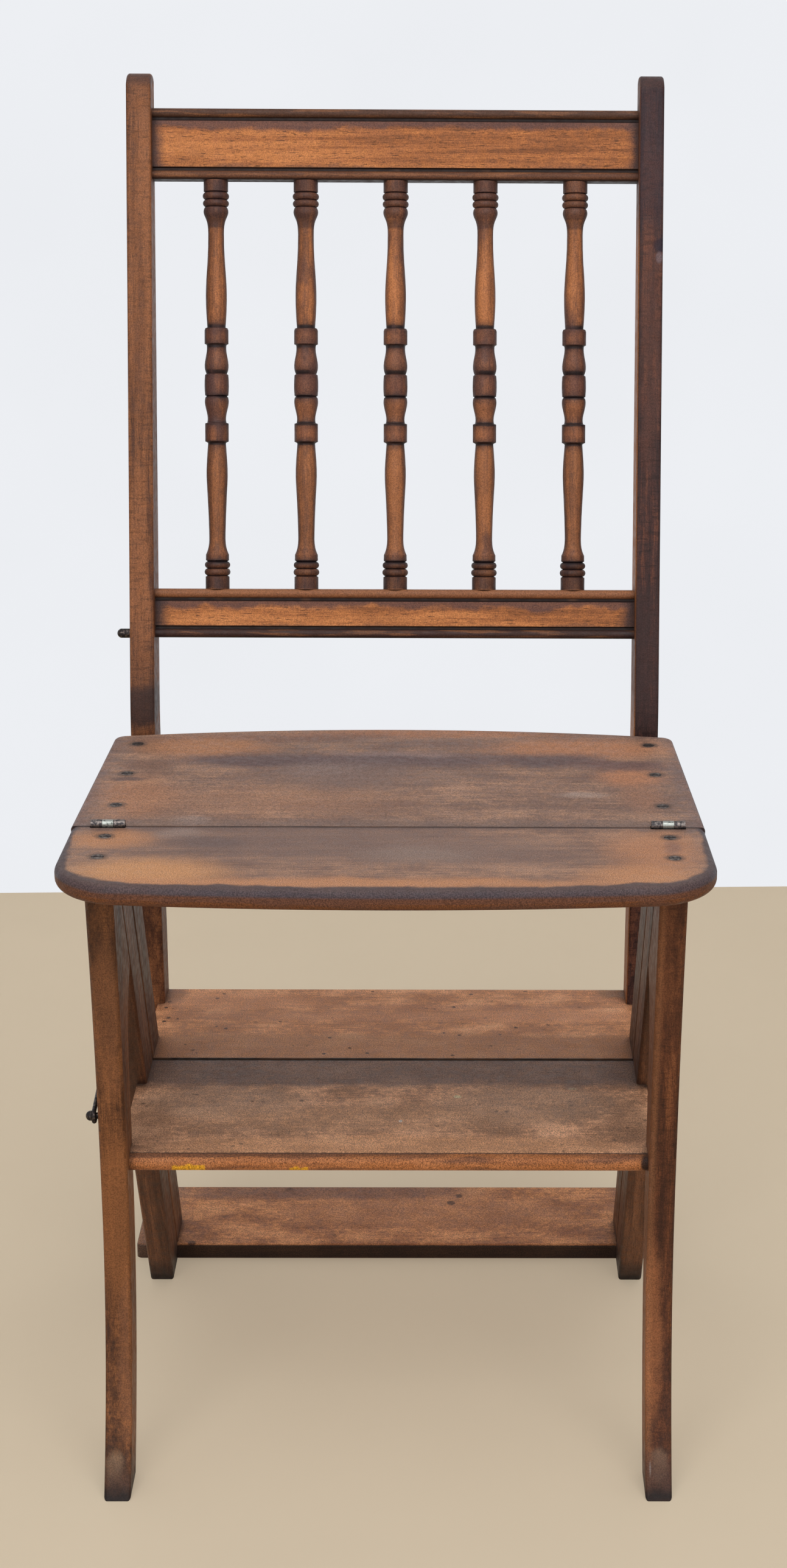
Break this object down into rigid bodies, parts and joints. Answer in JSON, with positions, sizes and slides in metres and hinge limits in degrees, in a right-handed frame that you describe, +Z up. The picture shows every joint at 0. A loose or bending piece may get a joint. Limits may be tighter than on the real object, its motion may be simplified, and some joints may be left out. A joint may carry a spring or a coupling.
{
  "type": "library step chair",
  "caption": "Antique wooden library chair with a turned spindle back. Its back half folds over the seat on butt hinges and makes library steps.",
  "frame": {"origin": "Middle of the chair across and from front to back, on the floor: the bottom centre of its bounding box as a chair.", "axes": "+X is the right side as seen from the front, +Y is the back, +Z is up."},
  "size_m": [0.417, 0.4714, 0.9031],
  "materials": {
    "seat_wood": "worn dusty grey-brown wax",
    "step_wood": "worn dusty brown wax",
    "rail_wood": "ochre stain, rubbed",
    "spindle_wood": "ochre stain, dark grooves",
    "post_wood": "red-brown stain, worn arrises",
    "frame_wood": "red-brown stain, worn arrises",
    "dowel_wood": "bare",
    "hinge_steel": "tarnished",
    "screw_steel": "dark and rusty",
    "dark_iron": "black"
  },
  "bodies": {
    "front_frame": {"front_frame_dowels": "dowel_wood", "front_hinge_leaf_left": "hinge_steel", "front_hinge_leaf_right": "hinge_steel", "front_hinge_screws": "screw_steel", "front_leg_left": "frame_wood", "front_leg_right": "frame_wood", "front_seat_board": "seat_wood", "front_seat_screws": "screw_steel", "front_step": "step_wood", "front_stringer_left": "frame_wood", "front_stringer_right": "frame_wood", "leg_stud": "dark_iron"},
    "rear_frame": {"back_post_left": "post_wood", "back_post_right": "post_wood", "crest_rail": "rail_wood", "hinge_pin_left": "hinge_steel", "hinge_pin_right": "hinge_steel", "lower_rail": "rail_wood", "platform_board": "step_wood", "platform_screws": "screw_steel", "post_stud": "dark_iron", "rear_frame_dowels": "dowel_wood", "rear_hinge_leaf_left": "hinge_steel", "rear_hinge_leaf_right": "hinge_steel", "rear_hinge_screws": "screw_steel", "rear_seat_bearer_left": "frame_wood", "rear_seat_bearer_right": "frame_wood", "rear_seat_board": "seat_wood", "rear_seat_screws": "screw_steel", "rear_step": "step_wood", "rear_stringer_left": "frame_wood", "rear_stringer_right": "frame_wood", "spindle_1": "spindle_wood", "spindle_2": "spindle_wood", "spindle_3": "spindle_wood", "spindle_4": "spindle_wood", "spindle_5": "spindle_wood"},
    "stay": {"stay_hook": "dark_iron"}
  },
  "joints": [
    {"name": "fold", "type": "hinge", "parent": "front_frame", "child": "rear_frame", "pos_m": [0, -0.11718, 0.4518], "axis": [1, 0, 0], "range_deg": [0, 180]},
    {"name": "stay_swing", "type": "hinge", "parent": "front_frame", "child": "stay", "pos_m": [-0.195, -0.15218, 0.2592], "axis": [1, 0, 0], "range_deg": [-220.09, 0]}
  ]
}
